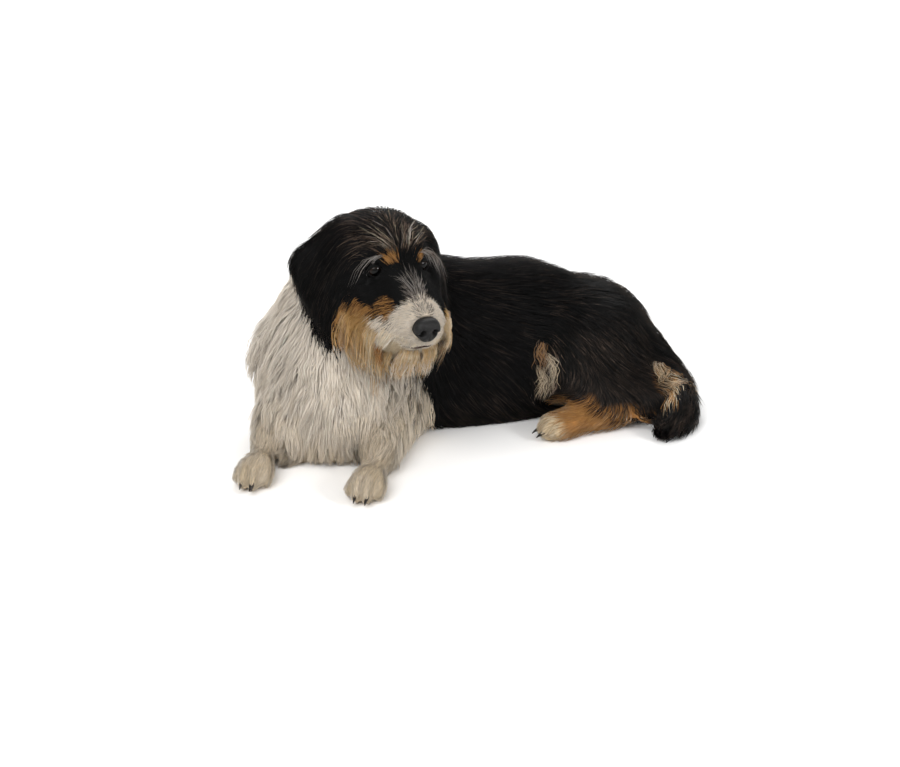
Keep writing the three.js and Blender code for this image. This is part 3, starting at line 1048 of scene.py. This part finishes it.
def make_skin():
    skin = Skin()
    piece = new_object("skin", skin.mesh)
    skin.mesh.shade_smooth()
    bpy.context.view_layer.objects.active = piece
    piece.select_set(True)
    bpy.ops.object.mode_set(mode="EDIT")
    bpy.ops.mesh.select_all(action="SELECT")
    bpy.ops.uv.smart_project(angle_limit=math.radians(66), island_margin=0.002)
    bpy.ops.object.mode_set(mode="OBJECT")
    skin.mesh.uv_layers[0].name = "OFBake"
    colour_layer(skin.mesh, "Tint", markings(skin.points, skin.labels, False) * 0.85)
    finish_piece(piece, skin_material(), FLESH)
    return skin


def make_coats(ground):
    """Every combed piece of the coat."""
    length = ground.values[:, 1]
    resting = smoothstep(3 * MM, 8 * MM, ground.middles[:, 2])
    free = may_grow(ground.middles)
    breast = front_depth(ground.middles) > -0.022
    left = ground.normals[:, 1] < 0.1
    chosen = {
        "coat_face": length < SHORT,
        "coat_crown": length >= SHORT,
        "coat_breast": breast,
        "coat_left": ~breast & left,
        "coat_right": ~breast & ~left,
    }
    material = hair_material()
    for name, (nodes, count, stations, slot) in COATS.items():
        grows = belongs(ground.labels, nodes) & chosen.get(name, True)
        weights = ground.area * grows * free * (0.15 + resting) / length**0.8
        roots = scatter(ground, count, weights)
        paths, normals, widths = lock_paths(roots, ground, stations)
        colours = markings(roots.points, roots.labels, True)
        widths = widths * rng.uniform(0.8, 1.25, count)
        piece = new_object(name, tuft_mesh(name, paths, normals, widths, colours, roots.uv))
        finish_piece(piece, material)
    return material


# Fringes of long hair: the first and the last chain of places, how many hairs, their
# width and wave (mm), two colours to mix, and the sides it grows on. The places are
# mm in the head's frame, with Y measured outwards.
HEAD_FRINGES = [
    (  # brow hair that arches over the eye
        [(8, 17, 22), (-1, 34, 20), (-8, 48, 5), (-3, 58, -22)],
        [(7, 20, 23), (-3, 36, 21), (-11, 50, 5), (-6, 61, -22)],
        11, 0.35, 0.5, SILVER, GREY, (-1, 1),
    ),
    (  # the thicker brow of the far side
        [(6, 24, 24), (-4, 42, 20), (-14, 58, 2), (-16, 66, -20)],
        [(2, 30, 18), (-10, 52, 8), (-18, 64, -10), (-16, 72, -38)],
        22, 0.4, 1.6, SILVER, BROWN, (1,),
    ),
    (  # crown
        [(8, 2, 22), (-8, 4, 40), (-32, 10, 47), (-54, 18, 44)],
        [(6, 10, 22), (-4, 24, 36), (-22, 46, 36), (-30, 60, 22)],
        30, 0.42, 3.0, BROWN, DUSKY_BROWN_AND_SHEEN, (-1, 1),
    ),
    (  # bridge of the muzzle
        [(64, 1, -5), (46, 1, 5), (30, 2, 12), (16, 3, 20)],
        [(62, 6, -6), (50, 10, 1), (38, 18, 2), (28, 26, 0)],
        11, 0.35, 1.6, SILVER, GREY, (-1, 1),
    ),
    # painted shade: the hair at the corner of the mouth is partly darker rust-brown
    (  # corner of the mouth
        [(62, 40, -62), (60, 44, -80), (57, 40, -96), (58, 34, -110)],
        [(54, 46, -62), (52, 48, -78), (50, 44, -92), (50, 38, -104)],
        46, 0.5, 1.6, CORNER_SHADE_BROWN, TAN, (-1, 1),
    ),
    (  # moustache
        [(74, 26, -42), (74, 36, -54), (70, 42, -68), (66, 40, -82)],
        [(56, 38, -36), (56, 48, -52), (56, 50, -70), (56, 46, -88)],
        160, 0.5, 1.0, GOLD, CREAM, (1,),
    ),
    (
        [(74, 28, -46), (73, 34, -54), (69, 39, -62), (63, 40, -72)],
        [(58, 38, -40), (58, 44, -52), (56, 46, -64), (54, 46, -76)],
        110, 0.5, 0.8, WHITE, CREAM, (-1,),
    ),
    (  # upper lip
        [(89, 3, -48), (89, 4, -54), (88, 6, -59), (87, 8, -62)],
        [(72, 26, -42), (74, 30, -50), (74, 33, -56), (73, 34, -61)],
        56, 0.5, 0.5, WHITE, CREAM, (-1, 1),
    ),
    (  # lower lip
        [(84, 2, -70), (85, 3, -76), (83, 4, -84), (80, 5, -92)],
        [(72, 22, -70), (74, 24, -77), (72, 25, -86), (68, 26, -94)],
        150, 0.5, 0.7, CREAM, GOLD, (-1, 1),
    ),
    (  # chin
        [(76, 1, -76), (77, 2, -88), (73, 3, -100), (68, 3, -112)],
        [(66, 22, -78), (65, 25, -92), (62, 25, -104), (58, 23, -116)],
        260, 0.6, 2.2, WHITE, GOLD, (-1, 1),
    ),
    (  # jaw, longer on the near side
        [(62, 28, -78), (60, 32, -94), (56, 31, -108), (54, 27, -120)],
        [(0, 58, -78), (-4, 62, -96), (-6, 60, -112), (-6, 56, -128)],
        420, 0.65, 2.6, GOLD, CREAM, (-1,),
    ),
    (
        [(62, 28, -76), (60, 31, -88), (57, 30, -98), (54, 27, -106)],
        [(0, 58, -74), (-4, 60, -88), (-6, 58, -98), (-6, 54, -106)],
        320, 0.6, 2.2, GOLD, CREAM, (1,),
    ),
    (  # between the moustache and the cheek
        [(54, 42, -46), (54, 47, -62), (50, 47, -80), (48, 43, -96)],
        [(38, 51, -46), (38, 55, -64), (34, 54, -83), (32, 50, -100)],
        130, 0.6, 2.0, CREAM, GOLD, (-1, 1),
    ),
    (
        [(40, 50, -44), (40, 54, -63), (36, 53, -82), (34, 49, -99)],
        [(24, 58, -46), (22, 62, -66), (18, 60, -86), (16, 56, -104)],
        130, 0.6, 2.0, GOLD, TAN, (-1, 1),
    ),
    (  # cheek
        [(24, 58, -48), (20, 62, -66), (14, 62, -86), (12, 58, -106)],
        [(-10, 66, -50), (-16, 70, -68), (-18, 68, -90), (-18, 64, -110)],
        280, 0.65, 2.4, TAN, GOLD, (-1,),
    ),
    (
        [(24, 58, -50), (20, 61, -64), (14, 60, -78), (12, 56, -92)],
        [(-10, 66, -52), (-16, 68, -66), (-18, 66, -80), (-18, 62, -94)],
        220, 0.6, 2.0, TAN, GOLD, (1,),
    ),
]

# The same on the hind legs, as shares of the leg's box from its outer side, with the
# legs that it grows on.
LEG_FRINGES = [
    (  # stifle, in three curls
        [(0.12, 0.36, 0.74), (0.08, 0.31, 0.62), (0.09, 0.27, 0.50)],
        [(0.15, 0.34, 0.72), (0.13, 0.29, 0.62), (0.13, 0.26, 0.51)],
        40, 0.45, 3.2, TAN, BROWN, HINDLEGS,
    ),
    (
        [(0.13, 0.33, 0.66), (0.17, 0.28, 0.54), (0.14, 0.24, 0.42)],
        [(0.15, 0.32, 0.64), (0.20, 0.26, 0.53), (0.18, 0.22, 0.40)],
        44, 0.45, 3.2, GREY, CREAM, HINDLEGS,
    ),
    (
        [(0.08, 0.31, 0.56), (0.10, 0.26, 0.43), (0.07, 0.22, 0.32)],
        [(0.12, 0.30, 0.53), (0.15, 0.24, 0.41), (0.12, 0.20, 0.30)],
        48, 0.45, 3.2, CREAM, BROWN, HINDLEGS,
    ),
    (  # breech
        [(0.83, 0.35, 0.45), (0.82, 0.30, 0.34), (0.84, 0.26, 0.22)],
        [(0.88, 0.36, 0.43), (0.92, 0.31, 0.32), (0.88, 0.26, 0.22)],
        34, 0.45, 2.8, CREAM, TAN, HINDLEGS[:1],
    ),
    (
        [(1.00, 0.22, 0.24), (0.94, 0.20, 0.20), (0.86, 0.19, 0.19)],
        [(1.01, 0.22, 0.18), (0.95, 0.20, 0.15), (0.86, 0.19, 0.14)],
        28, 0.45, 2.8, CREAM, TAN, HINDLEGS[:1],
    ),
]


def drape(ground, first, last, count, wave, stations, turns):
    """Hairs between two chains of places, kept just above the coat's own surface."""
    share = np.linspace(0, 1, stations)
    known = np.linspace(0, 1, len(first))
    chains = [
        np.column_stack([np.interp(share, known, np.asarray(chain)[:, k]) for k in range(3)])
        for chain in (first, last)
    ]
    across = rng.random((count, 1, 1))
    paths = mix(chains[0][None], chains[1][None], across)
    stray = (0.8 + 0.5 * wave) * MM
    paths = paths + rng.normal(0, stray, (count, 1, 3)) * (0.5 + share[None, :, None])
    start = paths[:, :1]
    paths = start + (paths - start) * rng.uniform(0.55, 1.15, (count, 1, 1))
    flat, faces = ground.nearest(paths.reshape(-1, 3))
    normals = ground.normals[faces].reshape(paths.shape)
    depth = ground.values[faces, 0].reshape(count, stations, 1) * MM
    height = ((paths - flat.reshape(paths.shape)) * normals).sum(2, keepdims=True)
    wanted = np.maximum(height, depth * rng.uniform(0.85, 1.15, (count, 1, 1)))
    paths = paths + normals * (wanted - height) * np.minimum(share * 3, 1)[None, :, None]
    phase = turns * across[:, :, 0] + rng.normal(0, 0.6, (count, 1))
    swing = np.sin(phase + share[None] * turns) * np.sqrt(share[None]) * wave * MM
    sideways = np.cross(normals, unit(paths[:, -1] - paths[:, 0])[:, None])
    paths = paths + sideways * swing[:, :, None]
    root, root_faces = ground.nearest(paths[:, 0])
    roots = Roots(ground, root, root_faces)
    paths[:, 0] = root - roots.normals * MM
    return paths, normals, roots.uv


def make_tufts(name, bands, material):
    """One piece from bands of draped hairs with their widths and two colours."""
    paths, normals, uv = (np.concatenate([band[0][k] for band in bands]) for k in range(3))
    widths = np.concatenate([np.full(len(band[0][0]), band[1] * MM) for band in bands])
    widths = widths * rng.uniform(0.7, 1.2, len(widths))
    colours = [mix(band[2], band[3], rng.random((len(band[0][0]), 1))) for band in bands]
    colours = np.concatenate(colours) * rng.uniform(0.85, 1.2, (len(paths), 1))
    piece = new_object(name, tuft_mesh(name, paths, normals, widths, colours, uv))
    finish_piece(piece, material)


def make_fringes(ground, material):
    """Brow, crown, bridge and beard hair, and the curly tufts of stifle and breech."""
    bands = []
    for first, last, count, width, wave, colour, other, sides in HEAD_FRINGES:
        for side in sides:
            ends = [from_head(np.array(chain) * [1, side, 1] * MM) for chain in (first, last)]
            bands.append((drape(ground, *ends, count, wave, 5, 8), width, colour, other))
    make_tufts("coat_fringes", bands, material)
    bands = []
    for first, last, count, width, wave, colour, other, legs in LEG_FRINGES:
        for leg in legs:
            ends = [np.array([in_hind_box(leg, at) for at in chain]) for chain in (first, last)]
            bands.append((drape(ground, *ends, count, wave, 9, 10), width, colour, other))
    make_tufts("coat_leg_tufts", bands, material)


def make_eyes():
    material = eye_material()
    rim = leather_material("eyelid", srgb(5, 5, 5), 0.6, 1800, 0.3 * MM, 0.1)
    for name, side in EYES:
        axis = Vector(eye_axis(side))
        centre = Vector(middle(name))
        shape = bmesh.new()
        bmesh.ops.create_uvsphere(shape, u_segments=48, v_segments=32, radius=EYE_RADIUS)
        for vert in shape.verts:
            bulge = max(vert.co.x / EYE_RADIUS - 0.72, 0)
            vert.co.x += bulge * 2.2 * MM
        ball = new_object(name + "_ball", smooth_mesh(name + "_ball", shape))
        ball.matrix_world = Matrix.Translation(centre) @ turned(axis, "X", "Z")
        finish_piece(ball, material, (name,))
        lid = new_object(name + "_lids", lid_mesh(name + "_lids", centre, axis, side))
        finish_piece(lid, rim)


# The lids, as angles in degrees from the eye's axis: the opening's half width, its
# height above and below, and the outer rim.
LID_WIDTH, UPPER_LID, LOWER_LID, LID_RIM = 54, 38, 33, 62


def lid_mesh(name, centre, axis, side):
    """Both lids: a shell over the eyeball with an almond-shaped opening."""
    up = Vector(head_up)
    across = up.cross(axis).normalized()
    up = axis.cross(across).normalized()
    if side < 0:
        across = -across  # across now points away from the nose on both sides
    around, steps = 64, 8
    outer_points, inner_points = [], []
    for step in range(steps + 1):
        share = step / steps
        for k in range(around):
            angle = 2 * math.pi * k / around
            cosine, sine = math.cos(angle), math.sin(angle)
            tall = UPPER_LID if sine > 0 else LOWER_LID
            corner = (3 if cosine > 0 else -6) * cosine**2
            opening = tall * math.copysign(abs(sine) ** 1.5, sine) + corner
            yaw = math.radians(mix(LID_WIDTH * cosine, LID_RIM * cosine, share))
            pitch = math.radians(mix(opening, LID_RIM * sine, share))
            spin = math.hypot(yaw, pitch)
            tip = (across * yaw + up * pitch) / max(spin, 1e-6)
            way = axis * math.cos(spin) + tip * math.sin(spin)
            thick = (0.6 + 0.8 * math.sin(math.pi * min(share * 1.4 + 0.15, 1.0))) * MM
            outer_points.append(centre + way * (EYE_RADIUS + 0.5 * MM + thick))
            inner_points.append(centre + way * (EYE_RADIUS + 0.15 * MM))
    count = len(outer_points)
    faces = []
    for step in range(steps):
        for k in range(around):
            a, b = step * around + k, step * around + (k + 1) % around
            c, d = b + around, a + around
            faces += [(a, b, c, d), (count + d, count + c, count + b, count + a)]
    for k in range(around):
        a, b = k, (k + 1) % around
        faces.append((b, a, count + a, count + b))
        a, b = steps * around + k, steps * around + (k + 1) % around
        faces.append((a, b, count + b, count + a))
    shape = bmesh.new()
    corners = [shape.verts.new(point) for point in outer_points + inner_points]
    for face in faces:
        shape.faces.new([corners[k] for k in face])
    return smooth_mesh(name, shape)


NOSE_RADII = np.array([12, 17, 15])  # mm


def nose_dent(y, z, side, across, height, wide, tall):
    """A rounded dent or rise on one side of the nose's front, from 0 to 1."""
    gap_y = (y - side * across * MM) / (wide * MM)
    gap_z = (z - height * MM) / (tall * MM)
    return np.exp(-(gap_y**2) - gap_z**2)


def make_nose():
    """The nose leather, with two comma-shaped nostrils and the groove below them."""
    centre = middle("nose") - 1.5 * MM * head_up
    shape = bmesh.new()
    bmesh.ops.create_icosphere(shape, subdivisions=5, radius=1.0)
    ball = np.array([vert.co for vert in shape.verts])
    power = 2.5
    ball = ball / (np.abs(ball) ** power).sum(1, keepdims=True) ** (1 / power)
    x, y, z = (ball * NOSE_RADII * MM).T
    front = smoothstep(0, 6 * MM, x)
    y = y * (1 - 0.34 * smoothstep(0, -13 * MM, z))
    for side in (-1, 1):
        pit = nose_dent(y, z, side, 7.6, -0.5, 3.6, 3.9)
        slit = nose_dent(y, z, side, 12.5, -3.5, 4.6, 1.7)
        wing = nose_dent(y, z, side, 12.0, 3.0, 3.4, 4.0)
        x = x - front * MM * (10.0 * pit + 5.0 * slit - 1.8 * wing)
    groove = np.exp(-((y / (1.1 * MM)) ** 2)) * smoothstep(4 * MM, -2 * MM, z)
    x = x - front * 1.8 * MM * groove
    points = centre + np.column_stack([x, y, z]) @ head_axes
    for vert, place in zip(shape.verts, points.tolist()):
        vert.co = place
    piece = new_object("nose_leather", smooth_mesh("nose_leather", shape))
    material = leather_material("nose_skin", srgb(8, 7, 7), 0.4, 900, 0.5 * MM, 0.25)
    finish_piece(piece, material, ("nose",))


# The edge of the lips, in mm in the head's frame, from the middle outwards.
LIP_LINE = [(88, 0, -60), (86, 8, -65), (80, 18, -66), (74, 26, -63)]
LIP_STATIONS = 60
LIP_RADIUS = 1.6 * MM


def sweep(name, path, radii, sides=8):
    """A closed tube along a path of places, with a radius at each."""
    path = np.asarray(path)
    along = unit(np.gradient(path, axis=0))
    across = tangent(np.tile(head_up, (len(path), 1)) + 0.01, along)
    other = np.cross(along, across)
    turns = np.arange(sides) * 2 * math.pi / sides
    rings = [
        path + (across * math.cos(turn) + other * math.sin(turn)) * np.asarray(radii)[:, None]
        for turn in turns
    ]
    points = np.concatenate([np.stack(rings, axis=1).reshape(-1, 3), path[:1], path[-1:]])
    faces = []
    last = (len(path) - 1) * sides
    for k in range(sides):
        after = (k + 1) % sides
        for ring in range(len(path) - 1):
            a, b = ring * sides + k, ring * sides + after
            faces += [(a, b, b + sides), (a, b + sides, a + sides)]
        faces.append((len(points) - 2, after, k))
        faces.append((len(points) - 1, last + k, last + after))
    return triangle_mesh(name, points, np.array(faces))


def make_lips(ground):
    """A thin, brown edge of the lips, and the groove up to the nose."""
    material = leather_material("lip", srgb(44, 28, 23), 0.6, 900, 0.3 * MM, 0.15)
    half = np.array(LIP_LINE, float)
    line = np.concatenate([half[:0:-1] * [1, -1, 1], half])
    known = np.arange(len(line))
    fine = np.linspace(0, len(line) - 1, LIP_STATIONS)
    smooth = np.column_stack([np.interp(fine, known, line[:, k]) for k in range(3)])
    for _ in range(3):
        smooth[1:-1] = 0.5 * smooth[1:-1] + 0.25 * (smooth[:-2] + smooth[2:])
    places, faces = ground.nearest(from_head(smooth * MM))
    places = places + ground.normals[faces] * 2.0 * MM
    padded = np.pad(places, ((2, 2), (0, 0)), "edge")
    places = np.column_stack([np.convolve(line, np.ones(5) / 5, "valid") for line in padded.T])
    to_end = np.minimum(fine, len(line) - 1 - fine) * 8 / (len(line) - 1)
    radii = np.clip(to_end / 3, 0.2, 1) * LIP_RADIUS
    finish_piece(new_object("lips", sweep("lips", places, radii)), material)
    groove = from_head(np.array([(92, 0, -46), (91, 0, -50), (88, 0, -55), (86, 0, -59)]) * MM)
    philtrum = sweep("philtrum", groove, np.array([1.3, 1.1, 0.9, 0.6]) * MM)
    finish_piece(new_object("philtrum", philtrum), material)


CLAW_LENGTH = 12 * MM
CLAW_ROOT = 4 * MM  # how much of it lies in the toe
CLAW_DROP = 5 * MM
CLAW_RADII = np.array([2.6, 2.5, 2.0, 1.3, 0.4]) * MM


def make_claws(ground):
    """Four short, dark claws on each paw, joined into one piece."""
    material = leather_material("claw", srgb(40, 34, 30), 0.35, 300, 0.1 * MM)
    points, faces = [], []
    for name, degrees in PAW_HEADINGS.items():
        heading = np.array([math.cos(math.radians(degrees)), math.sin(math.radians(degrees)), 0])
        leftward = np.array([-heading[1], heading[0], 0])
        for toe in (-1.5, -0.5, 0.5, 1.5):
            guess = middle(name) + heading * 60 * MM + leftward * toe * TOE_WIDTH
            guess[2] = 9 * MM
            base = ground.nearest(guess[None])[0][0]
            share = np.linspace(0, 1, len(CLAW_RADII))[:, None]
            path = base + heading * (CLAW_LENGTH * share - CLAW_ROOT)
            path[:, 2:] -= CLAW_DROP * share**2
            claw = sweep("claw_part", path, CLAW_RADII, 6)
            start = len(points)
            points += read_points(claw).tolist()
            faces += [[start + k for k in face.vertices] for face in claw.polygons]
            bpy.data.meshes.remove(claw)
    piece = new_object("claws", triangle_mesh("claws", np.array(points), np.array(faces)))
    finish_piece(piece, material)


# ---------------------------------------------------------------- floor, lights, camera

AIM = (-0.034, 0.0, 0.032)
CAMERA_DISTANCE = 3.022
CAMERA_AZIMUTH = -11.72
CAMERA_ELEVATION = 23.58
CAMERA_ROLL = -1.92
CAMERA_LENS = 92.8


def make_camera():
    data = bpy.data.cameras.new("camera")
    data.lens = CAMERA_LENS
    data.sensor_width = 36
    camera = new_object("camera", data)
    azimuth, elevation = math.radians(CAMERA_AZIMUTH), math.radians(CAMERA_ELEVATION)
    back = Vector(
        (
            math.sin(azimuth) * math.cos(elevation),
            -math.cos(azimuth) * math.cos(elevation),
            math.sin(elevation),
        )
    )
    place = Matrix.Translation(Vector(AIM) + back * CAMERA_DISTANCE)
    roll = Matrix.Rotation(math.radians(CAMERA_ROLL), 4, "Z")
    camera.matrix_world = place @ turned(back, "Z", "Y") @ roll
    bpy.context.scene.camera = camera


# Lights: a place, a width in metres and a power in watts.
LIGHTS = {
    "key": ((-1.6, -1.9, 2.6), 2.6, 88),
    "fill": ((1.9, -2.3, 1.5), 0.7, 42),
    "back": ((0.6, 2.2, 2.4), 1.8, 45),
}
LIT_PLACE = (-0.05, 0, 0.12)


def area_light(name, place, size, power):
    data = bpy.data.lights.new(name, "AREA")
    data.shape = "DISK"
    data.size = size
    data.energy = power
    light = new_object(name, data)
    back = Vector(place) - Vector(LIT_PLACE)
    light.matrix_world = Matrix.Translation(place) @ turned(back, "Z", "Y")


def make_studio():
    shape = bmesh.new()
    bmesh.ops.create_grid(shape, x_segments=1, y_segments=1, size=30)
    mesh = bpy.data.meshes.new("floor")
    shape.to_mesh(mesh)
    shape.free()
    floor = new_object("floor", mesh)
    material, _, _, shader = new_material("floor", 0.9, 0.1)
    shader.inputs["Base Color"].default_value = (0.86, 0.86, 0.86, 1)
    mesh.materials.append(material)
    for name, light in LIGHTS.items():
        area_light(name, *light)
    world = bpy.data.worlds.new("studio")
    world.use_nodes = True
    world.node_tree.nodes["Background"].inputs["Color"].default_value = (1.0, 0.99, 0.97, 1)
    world.node_tree.nodes["Background"].inputs["Strength"].default_value = 0.7
    bpy.context.scene.world = world
    bpy.context.scene.view_settings.view_transform = "Standard"


make_camera()
make_studio()
dog_ground = Ground(make_skin())
hair = make_coats(dog_ground)
make_fringes(dog_ground, hair)
make_eyes()
make_nose()
make_lips(dog_ground)
make_claws(dog_ground)
